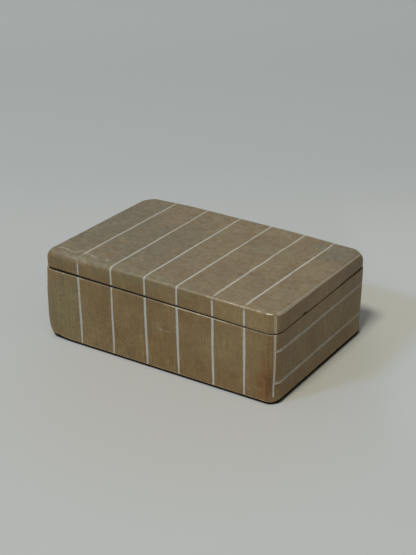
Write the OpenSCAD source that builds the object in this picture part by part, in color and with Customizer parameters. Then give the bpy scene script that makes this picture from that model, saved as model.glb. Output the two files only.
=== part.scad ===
// Carved stone box with a lift-off lid.
// A hollow body and a loose lid, each cut from one piece of soft stone.
// Pale lines are scratched up the front, over the lid and down the back,
// up the four upright corners, along the lid's end edges and across the ends.
// Millimetres. +X runs along the length, +Y to the back and +Z up.
// The origin is the middle of the face that the box rests on.

/* [Box] */
// Length, end to end
box_length = 152; // [120:1:220]
// Depth, front to back
box_depth = 100; // [80:1:150]
// Radius of the upright corners, body and lid alike
corner_radius = 7; // [7:0.5:12]
// Softened edge on both sides of the seam
seam_break = 0.5; // [0.2:0.1:1]

/* [Body] */
// Height of the body, up to the seam
body_height = 42; // [36:0.5:80]
// Thickness of the side walls
wall = 9; // [6:0.5:14]
// Thickness of the floor
floor_thickness = 9; // [6:0.5:14]
// Rounding of the outer bottom edge
bottom_round = 2.5; // [1:0.5:6.5]
// Radius of the cavity's upright corners
cavity_corner = 6; // [4:0.5:10]
// Fillet between the cavity's walls and its floor
cavity_fillet = 3; // [1:0.5:3.5]
// Softened edge of the cavity's mouth
mouth_break = 0.6; // [0.2:0.1:1.5]

/* [Lid] */
// Height of the lid above the seam, at its middle
lid_height = 11.2; // [8:0.1:20]
// How much lower the hand-cut top is at the right end than at the left
top_fall_right = 1.6; // [0:0.1:3]
// How much lower the top is along the back than along the front
top_fall_back = 2.1; // [0:0.1:3]
// How far the lid's sides stand back from the body's
lid_inset = 0.2; // [0.2:0.1:1]
// Rounding of the lid's top edge
lid_round = 3; // [1:0.5:5]
// How far the tongue under the lid reaches into the cavity
tongue_depth = 5; // [3:0.5:10]
// Gap between the tongue and the cavity wall, on each side
tongue_clearance = 0.5; // [0.3:0.1:1.5]
// Lead-in cut round the tongue's lower edge
tongue_lead = 1; // [0.3:0.1:2]

/* [Scratched lines] */
// Width of every line
line_width = 1.2; // [0.6:0.1:2.4]
// Depth of every line
line_depth = 0.4; // [0.2:0.05:0.8]
// Height above the rest face where the upright lines stop
line_foot = 2.5; // [1:0.5:8]
// How far each hand-cut cross line stands to the right of its even place, left to right
line_drift = [2.6, 4.1, 5.1, 4.8, 5.7, 3.9]; // [-6:0.1:6]
// Height of the lower line across each end
end_line_low = 13; // [8:0.5:18]
// Height of the upper line across each end
end_line_high = 31.9; // [24:0.1:34]

/* [Hidden] */
$fn = 64;

stone_body = [0.41, 0.36, 0.27];
stone_lid = [0.46, 0.42, 0.34];

// How far a cut runs past the solid that it cuts
past = 2;
// Height of the top at the middle of the lid
total_height = body_height + lid_height;
cavity_length = box_length - 2 * wall;
cavity_depth = box_depth - 2 * wall;
tongue_corner = cavity_corner - tongue_clearance;
tongue_length = cavity_length - 2 * tongue_clearance;
tongue_width = cavity_depth - 2 * tongue_clearance;

// Axes of the upright corners
core_x = box_length / 2 - corner_radius;
core_y = box_depth / 2 - corner_radius;

// The corner lines stand halfway round their corners, and the cross lines share the length between them
corner_line_x = core_x + corner_radius * cos(45);
cross_lines = len(line_drift);
cross_gap = 2 * corner_line_x / (cross_lines + 1);
cross_places = [for (i = [0:cross_lines - 1]) (i + 1) * cross_gap - corner_line_x + line_drift[i]];

// The lid is cut square, tilted about its middle and then trimmed flat along the seam
lid_middle = body_height + lid_height / 2;
lid_tilt = [-atan(top_fall_back / box_depth), atan(top_fall_right / box_length), 0];
// How far the square lid reaches down, which clears the seam at every corner once it is tilted
lid_low = body_height - top_fall_back - top_fall_right - past;
lid_corner = corner_radius - lid_inset;

// Height of the line halfway round the lid's top edge, where the corner lines end
edge_line_height = total_height - lid_round * (1 - sin(45));

// The outer quarter of a disc, above its centre or below it
module quarter_disc(radius, above) {
    intersection() {
        circle(radius);
        translate([0, above ? 0 : -2 * radius])
            square(2 * radius);
    }
}

// A block with round upright corners, whose child is its edge profile:
// X is measured outwards from the corner axis, and Y is the height.
// The core, the four sides and the four corners meet face to face.
module swept_block(length, depth, corner, low, high) {
    half_x = length / 2 - corner;
    half_y = depth / 2 - corner;
    translate([-half_x, -half_y, low])
        cube([2 * half_x, 2 * half_y, high - low]);
    for (turn = [0, 180]) rotate(turn) {
        translate([-half_x, half_y, 0])
            rotate([90, 0, 90])
                linear_extrude(2 * half_x)
                    children();
        translate([half_x, half_y, 0])
            rotate([90, 0, 0])
                linear_extrude(2 * half_y)
                    children();
        translate([half_x, half_y, 0])
            rotate_extrude(angle = 90)
                children();
        translate([-half_x, half_y, 0])
            rotate(90)
                rotate_extrude(angle = 90)
                    children();
    }
}

// The body's outside, drawn in by an inset and carried up to a top height
module body_outside(inset, top, edge_break) {
    radius = corner_radius - inset;
    edge_round = bottom_round - inset;
    swept_block(box_length - 2 * inset, box_depth - 2 * inset, radius, inset, top) {
        union() {
            polygon([
                [0, inset],
                [radius - edge_round, inset],
                [radius - edge_round, bottom_round],
                [radius, bottom_round],
                [radius, top - edge_break],
                [radius - edge_break, top],
                [0, top],
            ]);
            translate([radius - edge_round, bottom_round])
                quarter_disc(edge_round, above = false);
        }
    }
}

// The square lid before it is tilted, drawn in by an inset
module lid_block(inset) {
    length = box_length - 2 * (lid_inset + inset);
    depth = box_depth - 2 * (lid_inset + inset);
    radius = lid_corner - inset;
    edge_round = lid_round - inset;
    top = total_height - inset;
    swept_block(length, depth, radius, lid_low, top) {
        union() {
            polygon([
                [0, lid_low],
                [radius, lid_low],
                [radius, total_height - lid_round],
                [radius - edge_round, total_height - lid_round],
                [radius - edge_round, top],
                [0, top],
            ]);
            translate([radius - edge_round, total_height - lid_round])
                quarter_disc(edge_round, above = true);
        }
    }
}

// Tilts the square lid about its middle
module tilted() {
    translate([0, 0, lid_middle])
        rotate(lid_tilt)
            translate([0, 0, -lid_middle])
                children();
}

// What the lid is trimmed to: all that is above the seam, inside a softened edge
module above_seam() {
    reach = corner_radius + past;
    top = total_height + top_fall_right + top_fall_back;
    swept_block(box_length, box_depth, corner_radius, body_height, top) {
        polygon([
            [0, body_height],
            [corner_radius - seam_break, body_height],
            [reach, body_height + seam_break + past],
            [reach, top],
            [0, top],
        ]);
    }
}

// The hollow that the body is cut with, open through its mouth
module cavity() {
    swept_block(cavity_length, cavity_depth, cavity_corner, floor_thickness, body_height + past) {
        union() {
            polygon([
                [0, floor_thickness],
                [cavity_corner - cavity_fillet, floor_thickness],
                [cavity_corner - cavity_fillet, floor_thickness + cavity_fillet],
                [cavity_corner, floor_thickness + cavity_fillet],
                [cavity_corner, body_height - mouth_break],
                [cavity_corner + mouth_break, body_height],
                [cavity_corner + mouth_break, body_height + past],
                [0, body_height + past],
            ]);
            translate([cavity_corner - cavity_fillet, floor_thickness + cavity_fillet])
                quarter_disc(cavity_fillet, above = false);
        }
    }
}

// The tongue under the lid, with its lead-in
module tongue() {
    low = body_height - tongue_depth;
    swept_block(tongue_length, tongue_width, tongue_corner, low, body_height) {
        polygon([
            [0, low],
            [tongue_corner - tongue_lead, low],
            [tongue_corner, low + tongue_lead],
            [tongue_corner, body_height],
            [0, body_height],
        ]);
    }
}

// Plates on the cross lines, from a foot height up past the lid
module cross_plates(foot) {
    for (place = cross_places)
        translate([place - line_width / 2, -box_depth / 2 - past, foot])
            cube([line_width, box_depth + 2 * past, total_height + past - foot]);
}

// Upright plates that cut each corner halfway round, between two heights
module corner_plates(foot, head) {
    for (side = [-1, 1], back = [-1, 1])
        translate([side * core_x, back * core_y, foot])
            rotate(atan2(back, side))
                translate([0, -line_width / 2, 0])
                    cube([corner_radius + past, line_width, head - foot]);
}

// Slabs on the two lines across each end, from corner line to corner line
module end_slabs() {
    reach = corner_radius + past;
    for (turn = [0, 180], height = [end_line_low, end_line_high])
        rotate(turn)
            translate([0, 0, height - line_width / 2])
                linear_extrude(line_width)
                    polygon([
                        [core_x, -core_y],
                        [core_x + reach, -core_y - reach],
                        [core_x + reach, core_y + reach],
                        [core_x, core_y],
                    ]);
}

// Profile of the cut halfway round the lid's top edge, outwards from the corner axis
module edge_strip() {
    translate([lid_corner - lid_round, total_height - lid_round])
        rotate(45)
            translate([0, -line_width / 2])
                square([lid_round + past, line_width]);
}

// Cuts along the top edge of each end, carried round to the corner lines
module end_edge_cuts() {
    for (turn = [0, 180]) rotate(turn) {
        translate([core_x, core_y, 0])
            rotate([90, 0, 0])
                linear_extrude(2 * core_y)
                    edge_strip();
        translate([core_x, core_y, 0])
            rotate_extrude(angle = 45)
                edge_strip();
        translate([core_x, -core_y, 0])
            rotate(-45)
                rotate_extrude(angle = 45)
                    edge_strip();
    }
}

module box_body() {
    color(stone_body)
        difference() {
            body_outside(0, body_height, seam_break);
            cavity();
            difference() {
                union() {
                    cross_plates(line_foot);
                    corner_plates(line_foot, body_height + past);
                    end_slabs();
                }
                body_outside(line_depth, total_height + 2 * past, 0);
            }
        }
}

module lid() {
    color(stone_lid)
        union() {
            intersection() {
                above_seam();
                tilted()
                    difference() {
                        lid_block(0);
                        difference() {
                            union() {
                                cross_plates(lid_low + past);
                                corner_plates(lid_low + past, edge_line_height);
                                end_edge_cuts();
                            }
                            lid_block(line_depth);
                        }
                    }
            }
            tongue();
        }
}

box_body();
lid();
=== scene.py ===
"""Looks of a carved stone box with a lift-off lid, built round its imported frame."""

import logging
import math
from dataclasses import dataclass, field
from enum import IntEnum
from typing import Any, Callable, Iterable, NamedTuple, Sequence

import bmesh
import bpy
from mathutils import Matrix, Vector, noise


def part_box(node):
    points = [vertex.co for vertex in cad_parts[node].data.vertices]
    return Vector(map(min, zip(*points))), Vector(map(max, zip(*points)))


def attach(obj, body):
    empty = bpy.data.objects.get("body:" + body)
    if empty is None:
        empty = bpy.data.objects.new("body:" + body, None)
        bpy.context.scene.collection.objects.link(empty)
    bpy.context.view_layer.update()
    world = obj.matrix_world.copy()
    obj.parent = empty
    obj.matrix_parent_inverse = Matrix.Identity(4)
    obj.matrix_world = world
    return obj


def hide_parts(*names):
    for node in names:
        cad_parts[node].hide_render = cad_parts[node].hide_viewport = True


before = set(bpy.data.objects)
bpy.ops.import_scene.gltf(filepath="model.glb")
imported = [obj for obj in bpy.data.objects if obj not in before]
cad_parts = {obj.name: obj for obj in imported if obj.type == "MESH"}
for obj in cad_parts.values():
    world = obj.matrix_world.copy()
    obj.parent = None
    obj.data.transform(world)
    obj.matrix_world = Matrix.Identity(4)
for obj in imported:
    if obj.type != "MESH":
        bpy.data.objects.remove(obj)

LOG = logging.getLogger("stone_box")
MM = 0.001
HARD_EDGE = math.radians(40.0)
SLANT = math.sqrt(0.5)
UP = Vector((0.0, 0.0, 1.0))
Point = tuple[float, float, float]
Colour = tuple[float, float, float, float]


def linear(shade: str) -> Colour:
    """Turn a web colour into the linear colour that a shader takes.

    Args:
        shade: Six hexadecimal digits, such as "7a6c55".

    Returns:
        Red, green, blue and an alpha of 1.
    """
    parts = [int(shade[i:i + 2], 16) / 255 for i in (0, 2, 4)]
    red, green, blue = [c / 12.92 if c <= 0.04045 else ((c + 0.055) / 1.055) ** 2.4 for c in parts]
    return red, green, blue, 1.0


def mix(a: float, b: float, share: float) -> float:
    """Go from a to b by a share."""
    return a + (b - a) * share


def part(low: float, high: float, value: float) -> float:
    """Rise evenly from 0 at low to 1 at high."""
    return min(1.0, max(0.0, (value - low) / (high - low)))


def ease(low: float, high: float, value: float) -> float:
    """Rise smoothly from 0 at low to 1 at high."""
    share = part(low, high, value)
    return share * share * (3 - 2 * share)


def evenly(low: float, high: float, count: int) -> list[float]:
    """Step from low to high in equal steps, both in it."""
    return [mix(low, high, i / count) for i in range(count + 1)]


def quarter(count: int) -> list[float]:
    """Step through a quarter turn in equal steps, both ends in it."""
    return [math.radians(90 * i / count) for i in range(count + 1)]


def linked(name: str, data: bpy.types.ID) -> bpy.types.Object:
    """Make an object and link it to the scene.

    Args:
        name: Its name.
        data: Its mesh, lamp or camera.

    Returns:
        The object.
    """
    made = bpy.data.objects.new(name, data)
    bpy.context.scene.collection.objects.link(made)
    return made


def math_operator(operation: str, turned: bool = False) -> Callable[["Term", Any], "Term"]:
    """Make an operator that adds a Math node.

    Args:
        operation: The node's operation.
        turned: Whether the term stands on the right.

    Returns:
        The operator, a method of Term.
    """
    def method(self: "Term", other: Any) -> "Term":
        """Add the node."""
        return self.graph.math(operation, *((other, self) if turned else (self, other)))
    return method


@dataclass(frozen=True)
class Term:
    """A socket's value in a node tree, with arithmetic that adds Math nodes."""

    graph: "Graph"
    socket: bpy.types.NodeSocket

    __add__, __radd__ = math_operator("ADD"), math_operator("ADD", True)
    __sub__, __rsub__ = math_operator("SUBTRACT"), math_operator("SUBTRACT", True)
    __mul__, __rmul__ = math_operator("MULTIPLY"), math_operator("MULTIPLY", True)

    def __neg__(self) -> "Term":
        """Change the sign."""
        return self * -1.0

    def rise(self, low: float, high: float) -> "Term":
        """Rise smoothly from 0 at low to 1 at high, or fall where high is the lower one.

        Args:
            low: Where the result is 0.
            high: Where the result is 1.

        Returns:
            A value from 0 to 1.
        """
        falls = low > high
        inputs = {"Value": self, "From Min": min(low, high), "From Max": max(low, high),
                  "To Min": float(falls), "To Max": float(not falls)}
        return self.graph.node("ShaderNodeMapRange", {"interpolation_type": "SMOOTHSTEP"}, inputs)


class Layer(NamedTuple):
    """A noise: features per unit, finer layers and their strength, distortion, stretch and shift."""

    scale: float
    detail: float = 2.0
    rough: float = 0.5
    warp: float = 0.0
    stretch: Point | None = None
    shift: Point | None = None


@dataclass(frozen=True)
class Graph:
    """A node tree that grows by expressions."""

    tree: bpy.types.NodeTree

    def node(self, kind: str, settings: dict[str, Any] | None = None,
             inputs: dict[str | int, Any] | None = None, out: str | int = 0) -> Term:
        """Add a node.

        Args:
            kind: The node's type.
            settings: Its own settings, which are set first.
            inputs: Values or terms for its sockets, by identifier, name or number.
            out: Which output to return.

        Returns:
            The chosen output.
        """
        made = self.tree.nodes.new(kind)
        for name, value in (settings or {}).items():
            setattr(made, name, value)
        for key, value in (inputs or {}).items():
            socket = self.find(made.inputs, key)
            if isinstance(value, Term):
                self.tree.links.new(value.socket, socket)
            else:
                socket.default_value = value
        return Term(self, self.find(made.outputs, out))

    @staticmethod
    def find(sockets: Any, key: str | int) -> bpy.types.NodeSocket:
        """Find a socket by its identifier, its name or its number."""
        by_identifier = {s.identifier: s for s in sockets}
        return by_identifier[key] if key in by_identifier else sockets[key]

    def math(self, operation: str, *values: Any) -> Term:
        """Add a Math node with its values in order, terms or numbers."""
        return self.node("ShaderNodeMath", {"operation": operation}, dict(enumerate(values)))

    def vector(self, operation: str, *values: Any, scale: Any = None) -> Term:
        """Add a Vector Math node.

        Args:
            operation: The node's operation.
            values: Its vectors in order.
            scale: The number that a Scale node takes.

        Returns:
            The vector, or the number where the operation gives one.
        """
        inputs: dict[str | int, Any] = dict(enumerate(values))
        if scale is not None:
            inputs["Scale"] = scale
        out = "Value" if operation in ("LENGTH", "DOT_PRODUCT") else 0
        return self.node("ShaderNodeVectorMath", {"operation": operation}, inputs, out)

    def noise(self, place: Term, layer: Layer, out: str | int = 0) -> Term:
        """Add a noise texture.

        Args:
            place: Where it is read.
            layer: Its numbers.
            out: Which output to return.

        Returns:
            A value or a colour about 0.5.
        """
        if layer.stretch:
            place = self.vector("MULTIPLY", place, layer.stretch)
        if layer.shift:
            place = self.vector("ADD", place, layer.shift)
        inputs = {"Vector": place, "Scale": layer.scale, "Detail": layer.detail,
                  "Roughness": layer.rough, "Distortion": layer.warp}
        return self.node("ShaderNodeTexNoise", {}, inputs, out)

    def blend(self, share: Any, first: Any, second: Any) -> Term:
        """Mix two colours.

        Args:
            share: How much of the second colour there is.
            first: A web colour or a term.
            second: A web colour or a term.

        Returns:
            The mixed colour.
        """
        a, b = [linear(colour) if isinstance(colour, str) else colour for colour in (first, second)]
        inputs = {"Factor_Float": share, "A_Color": a, "B_Color": b}
        return self.node("ShaderNodeMix", {"data_type": "RGBA"}, inputs, "Result_Color")

    def stored(self, name: str) -> Term:
        """Read a number stored at the mesh's points."""
        return self.node("ShaderNodeAttribute", {"attribute_name": name}, out="Fac")

    def surface(self, shader: Term) -> None:
        """End a material's tree in a shader."""
        result = self.tree.nodes.new("ShaderNodeOutputMaterial")
        self.tree.links.new(shader.socket, result.inputs["Surface"])


def blank_material(name: str) -> tuple[bpy.types.Material, Graph]:
    """Start a material.

    Args:
        name: Its name.

    Returns:
        The material without nodes, and its tree.
    """
    made = bpy.data.materials.new(name)
    made.use_nodes = True
    made.node_tree.nodes.clear()
    return made, Graph(made.node_tree)


class Side(IntEnum):
    """The four sides, in the order in which a ring runs round the box."""

    FRONT = 0
    RIGHT = 1
    BACK = 2
    LEFT = 3


class Stray(IntEnum):
    """Where the strays of each kind of line begin among the numbers that waver() takes."""

    CROSS = 0
    CORNER = 9
    END = 20
    EDGE = 30
    CROSS_WIDTH = 40
    END_CHALK = 60


def waver(run: float, number: int, size: float = 0.25) -> float:
    """Give a hand's small stray, up to a size, at a run along the line with a number."""
    return size * noise.noise(Vector((run * 0.06, number * 7.3, 1.7)))


@dataclass(frozen=True)
class Station:
    """A place on the plan's outline, in millimetres, and the way out of the box there."""

    x: float
    y: float
    out_x: float
    out_y: float
    turn: float  # Its side's number plus how far along that side it lies

    def at(self, inset: float, z: float) -> Vector:
        """Give the point drawn in by an inset at a height."""
        return Vector((self.x - self.out_x * inset, self.y - self.out_y * inset, z))

    def out(self) -> Vector:
        """Give the level direction out of the box."""
        return Vector((self.out_x, self.out_y, 0.0))


@dataclass(frozen=True)
class Along:
    """A value that changes from place to place along a run, and is level before and after them."""

    knots: tuple[tuple[float, float], ...]  # The places in order, each with its value
    smooth: bool = True  # Whether it changes smoothly, and not evenly, from each place to the next

    def at(self, run: float) -> float:
        """Give the value at a place.

        Args:
            run: The place.

        Returns:
            The value.
        """
        place, value = self.knots[0]
        for after, goal in self.knots[1:]:
            value = mix(value, goal, (ease if self.smooth else part)(place, after, run))
            place = after
        return value


@dataclass(frozen=True)
class Around:
    """A value for each side, which may change along it, and what each corner adds to the blend of two."""

    front: float | Along = 0.0
    right: float | Along = 0.0
    back: float | Along = 0.0
    left: float | Along = 0.0
    front_left: float = 0.0
    front_right: float = 0.0
    back_right: float = 0.0
    back_left: float = 0.0

    def at(self, station: Station) -> float:
        """Blend the values by how much a station faces each side.

        Args:
            station: Where on the outline.

        Returns:
            The value there.
        """
        right, left = max(station.out_x, 0.0) ** 2, max(-station.out_x, 0.0) ** 2
        back, front = max(station.out_y, 0.0) ** 2, max(-station.out_y, 0.0) ** 2
        total = 0.0
        for share, value, run in ((front, self.front, station.x), (right, self.right, station.y),
                                  (back, self.back, station.x), (left, self.left, station.y)):
            total += share * (value.at(run) if isinstance(value, Along) else value)
        near = front * (left * self.front_left + right * self.front_right)
        far = back * (left * self.back_left + right * self.back_right)
        return total + 4 * (near + far)


class Bulge(NamedTuple):
    """How far a hand-cut wall stands out: how much round the box, and what share of it by height."""

    out: Around
    share: Along


class Swell(NamedTuple):
    """The swell of a hand-rubbed face: its height and length, and its place in the noise."""

    size: float
    length: float
    shift: Point = (0.0, 0.0, 0.0)

    def at(self, point: Vector) -> float:
        """Give the swell at a point."""
        return self.size * noise.noise((point + Vector(self.shift)) / self.length)


class Steps(NamedTuple):
    """A mesh's steps: a long one, a short one at a line, and how far the short ones reach from it."""

    coarse: float
    fine: float = 0.2
    zone: float = 1.5


def packed(low: float, high: float, places: Sequence[float], steps: Steps) -> list[float]:
    """Step from low to high, with short steps round some places.

    Args:
        low: The first value.
        high: The last value.
        places: Where the steps are short.
        steps: The steps.

    Returns:
        The values in order, low and high among them.
    """
    spans: list[tuple[float, float, float]] = []
    start = low
    for place in sorted(places):
        near, far = max(start, place - steps.zone), min(high, place + steps.zone)
        spans += [(start, near, steps.coarse), (near, far, steps.fine)]
        start = far
    spans.append((start, high, steps.coarse))
    values = [low]
    for begin, end, step in spans:
        if end > begin:
            values += evenly(begin, end, max(1, round((end - begin) / step)))[1:]
    return values


class Corners(NamedTuple):
    """The radii of the four upright corners, in millimetres, in ring order."""

    front_left: float
    front_right: float
    back_right: float
    back_left: float


@dataclass(frozen=True)
class Outline:
    """A rectangle with round corners, as stations from halfway round the front left corner on."""

    half_x: float
    half_y: float
    corners: Corners
    steps: Steps
    places: tuple[float, ...] = ()  # Where lines cross the front and the back
    spare: float = 3.0  # How far in from the widest corner a side's first and last few stations reach

    def bends(self) -> list[float]:
        """List the angles from a side's end to halfway round any corner, without the first."""
        eighth = max(self.corners) * math.pi / 4
        return [run / max(self.corners) for run in packed(0.0, eighth, (eighth,), self.steps)[1:]]

    def runs(self, begin: float, end: float, half: float, places: Sequence[float]) -> list[float]:
        """Step along a side's straight part, in as many steps as along the opposite side.

        Args:
            begin: Where it begins.
            end: Where it ends.
            half: Half the side's whole length.
            places: Where lines cross it.

        Returns:
            The places from begin to end, both in it.
        """
        even = half - max(self.corners) - self.spare
        middle = packed(-even, even, places, self.steps)
        return evenly(begin, -even, 4)[:-1] + middle + evenly(even, end, 4)[1:]

    def side(self, side: Side) -> list[Station]:
        """List one side's stations, from one corner's middle up to the next, which isn't in it.

        Args:
            side: Which side.

        Returns:
            The stations in ring order.
        """
        turn = math.radians(90.0 * side)
        along = Vector((math.cos(turn), math.sin(turn)))
        out = Vector((math.sin(turn), -math.cos(turn)))
        level = side in (Side.FRONT, Side.BACK)
        wide, deep = (self.half_x, self.half_y) if level else (self.half_y, self.half_x)
        first, last = self.corners[side], self.corners[(side + 1) % len(Side)]
        begin, end = first - wide, wide - last
        places = [along.x * place for place in self.places] if level else []
        steps = [(begin, -bend, first) for bend in reversed(self.bends())]
        steps += [(run, 0.0, first) for run in self.runs(begin, end, wide, places)]
        steps += [(end, bend, last) for bend in self.bends()[:-1]]
        lead = first * math.pi / 4
        length = lead + end - begin + last * math.pi / 4
        made = []
        for run, bend, radius in steps:
            facing = out * math.cos(bend) + along * math.sin(bend)
            spot = along * run + out * (deep - radius) + facing * radius
            share = (lead + run - begin + bend * radius) / length
            made.append(Station(spot.x, spot.y, facing.x, facing.y, side + share))
        return made

    def ring(self) -> list[Station]:
        """List all the stations, counter-clockwise from above."""
        return [station for side in Side for station in self.side(side)]

    def end(self, side: Side) -> list[Station]:
        """List one side's stations from corner middle to corner middle, both in it."""
        return self.side(side) + self.side(Side((side + 1) % len(Side)))[:1]


class Row(NamedTuple):
    """One point of an edge profile: how far in and how high it is, how worn with a painted highlight, and
    how much painted shade it has.
    """

    inset: float
    z: float
    wear: float = 0.0
    grime: float = 0.0


@dataclass
class Shell:
    """A mesh under construction, in millimetres, with values at its points."""

    points: list[Vector] = field(default_factory=list)
    faces: list[tuple[int, ...]] = field(default_factory=list)
    values: dict[str, dict[int, float]] = field(default_factory=dict)

    def add(self, point: Vector, **values: float) -> int:
        """Add a point.

        Args:
            point: Where it is.
            values: Named values at the point.

        Returns:
            Its number.
        """
        self.points.append(point)
        number = len(self.points) - 1
        for name, value in values.items():
            self.values.setdefault(name, {})[number] = value
        return number

    def unrubbed(self, ring: Sequence[Station], profile: Callable[[Station], Sequence[Row]]) -> list[Any]:
        """Add the points of an inner wall, by its outline and the profile at each station."""
        columns = [[self.add(s.at(row.inset, row.z), inside=1.0) for row in profile(s)] for s in ring]
        return list(zip(*columns))

    def loft(self, rows: Sequence[Sequence[int]]) -> None:
        """Join closed rows of equal length with quads.

        Args:
            rows: Each row's points.
        """
        for low, high in zip(rows, rows[1:]):
            for i, point in enumerate(low):
                after = (i + 1) % len(low)
                self.faces.append((point, low[after], high[after], high[i]))

    def lace(self, outer: Sequence[int], outer_ring: Sequence[Station],
             inner: Sequence[int], inner_ring: Sequence[Station]) -> None:
        """Join two closed rows of different lengths with triangles.

        Args:
            outer: One row's points.
            outer_ring: The stations that they stand on.
            inner: The other row's points.
            inner_ring: The stations that they stand on.
        """
        i = j = 0
        while i < len(outer) or j < len(inner):
            next_outer = outer_ring[i + 1].turn if i + 1 < len(outer) else len(Side)
            next_inner = inner_ring[j + 1].turn if j + 1 < len(inner) else len(Side)
            a, b = outer[i % len(outer)], inner[j % len(inner)]
            if j >= len(inner) or (i < len(outer) and next_outer <= next_inner):
                self.faces.append((a, outer[(i + 1) % len(outer)], b))
                i += 1
            else:
                self.faces.append((a, inner[(j + 1) % len(inner)], b))
                j += 1

    def mesh(self, name: str) -> bpy.types.Mesh:
        """Make a mesh with the values as attributes.

        Args:
            name: The mesh's name.

        Returns:
            The mesh, in metres.
        """
        made = bpy.data.meshes.new(name)
        made.from_pydata([point * MM for point in self.points], [], self.faces)
        for label, values in self.values.items():
            attribute = made.attributes.new(label, "FLOAT", "POINT")
            attribute.data.foreach_set("value", [values.get(i, 0.0) for i in range(len(self.points))])
        return made

    def build(self, name: str) -> bpy.types.Object:
        """Make the object of a closed shape, with its faces outwards and its soft edges smooth.

        Args:
            name: The object's name.

        Returns:
            The object, linked to the scene.
        """
        mesh = self.mesh(name)
        shape = bmesh.new()
        shape.from_mesh(mesh)
        bmesh.ops.recalc_face_normals(shape, faces=shape.faces)
        shape.to_mesh(mesh)
        shape.free()
        mesh.shade_smooth()
        mesh.set_sharp_from_angle(angle=HARD_EDGE)
        return linked(name, mesh)


class Cut(NamedTuple):
    """One point of a scratched line, in millimetres."""

    place: Vector
    out: Vector  # The way out of the stone there
    half: float  # Half the line's width
    chalk: float = 1.0  # How pale and deep the line is there, from 0 to 1


@dataclass
class Scratches:
    """Lines scratched into a piece of stone, in millimetres, each laid out as a blade that stands in it."""

    depth: float = 0.35  # How deep a line is
    lip: float = 0.35  # How far in from its edge a line reaches its depth
    waver: float = 0.35  # How far a line's edges stray
    waver_scale: float = 0.45  # How many strays there are in a millimetre
    reach_in: float = 3.0  # How far a blade stands into the stone
    reach_out: float = 2.5  # How far a blade stands out of it
    lines: list[list[Cut]] = field(default_factory=list)

    def add(self, cuts: Iterable[Cut]) -> None:
        """Add a line by its points."""
        self.lines.append(list(cuts))

    def blades(self) -> bpy.types.Object:
        """Make the ribbons that stand along the lines.

        Returns:
            The ribbons, with each point's width and paleness.
        """
        shell = Shell()
        reaches = (-self.reach_in, self.reach_out)
        for cuts in self.lines:
            pairs = []
            for cut in cuts:
                values = {"half_width": cut.half * MM, "chalk": cut.chalk}
                pairs.append([shell.add(cut.place + cut.out * reach, **values) for reach in reaches])
            shell.faces += [(*pair, *after[::-1]) for pair, after in zip(pairs, pairs[1:])]
        return linked("scratch_blades", shell.mesh("scratch_blades"))

    def tree(self) -> tuple[bpy.types.NodeTree, dict[str, str]]:
        """Build the tree that cuts the lines.

        Returns:
            The tree, and its inputs' identifiers by name.
        """
        tree = bpy.data.node_groups.new("cut_scratched_lines", "GeometryNodeTree")
        kinds = {"Geometry": "Geometry", "Blades": "Object", "Depth": "Float", "Lip": "Float",
                 "Waver": "Float", "Waver Scale": "Float", "Material": "Material"}
        sockets = {}
        for name, kind in kinds.items():
            socket = tree.interface.new_socket(name=name, in_out="INPUT", socket_type=f"NodeSocket{kind}")
            sockets[name] = socket.identifier
        tree.interface.new_socket(name="Geometry", in_out="OUTPUT", socket_type="NodeSocketGeometry")
        graph = Graph(tree)
        given = tree.nodes.new("NodeGroupInput")
        taken = {name: Term(graph, given.outputs[name]) for name in kinds}
        number = {"data_type": "FLOAT"}

        def named(name: str) -> Term:
            """Read a number stored at the points."""
            return graph.node("GeometryNodeInputNamedAttribute", number, {"Name": name})

        blades = graph.node("GeometryNodeObjectInfo", {"transform_space": "RELATIVE"},
                            {"Object": taken["Blades"]}, "Geometry")
        away = graph.node("GeometryNodeProximity", {"target_element": "FACES"}, {0: blades}, "Distance")
        half, chalk = [graph.node("GeometryNodeSampleNearestSurface", number,
                                  {"Mesh": blades, "Value": named(name)})
                       for name in ("half_width", "chalk")]
        stray = graph.node("ShaderNodeTexNoise", {}, {"Vector": graph.node("GeometryNodeInputPosition"),
                                                      "Scale": taken["Waver Scale"], "Detail": 2.0})
        shape = taken["Geometry"]
        stored = {"line_gap": away - half + (stray - 0.5) * taken["Waver"], "line_chalk": chalk}
        for name, value in stored.items():
            shape = graph.node("GeometryNodeStoreNamedAttribute", {**number, "domain": "POINT"},
                               {"Geometry": shape, "Name": name, "Value": value})
        falling = {"Value": named("line_gap"), "From Min": -taken["Lip"], "From Max": 0.0,
                   "To Min": 1.0, "To Max": 0.0}
        cut = graph.node("ShaderNodeMapRange", {"interpolation_type": "SMOOTHSTEP"}, falling)
        fall = cut * named("line_chalk") * taken["Depth"]
        push = graph.vector("SCALE", graph.node("GeometryNodeInputNormal"), scale=-fall)
        shape = graph.node("GeometryNodeSetPosition", {}, {"Geometry": shape, "Offset": push})
        shape = graph.node("GeometryNodeRealizeInstances", {}, {"Geometry": shape})
        shape = graph.node("GeometryNodeSetMaterial", {},
                           {"Geometry": shape, "Material": taken["Material"]})
        tree.links.new(shape.socket, tree.nodes.new("NodeGroupOutput").inputs["Geometry"])
        return tree, sockets

    def carve(self, stone: bpy.types.Object, material: bpy.types.Material) -> None:
        """Cut the lines into a stone's mesh and give it its material.

        Args:
            stone: The object, whose mesh is replaced.
            material: The finish that it gets.
        """
        blades = self.blades()
        tree, sockets = self.tree()
        values = {"Blades": blades, "Depth": self.depth * MM, "Lip": self.lip * MM,
                  "Waver": self.waver * MM, "Waver Scale": self.waver_scale / MM, "Material": material}
        modifier = stone.modifiers.new("scratched lines", "NODES")
        modifier.node_group = tree
        for name, value in values.items():
            modifier[sockets[name]] = value
        settled = bpy.context.evaluated_depsgraph_get()
        cut = stone.evaluated_get(settled)
        mesh = bpy.data.meshes.new_from_object(cut, preserve_all_data_layers=True, depsgraph=settled)
        plain = stone.data
        stone.modifiers.remove(modifier)
        stone.data = mesh
        bpy.data.meshes.remove(plain)
        bpy.data.objects.remove(blades)
        mesh.name = stone.name


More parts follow.
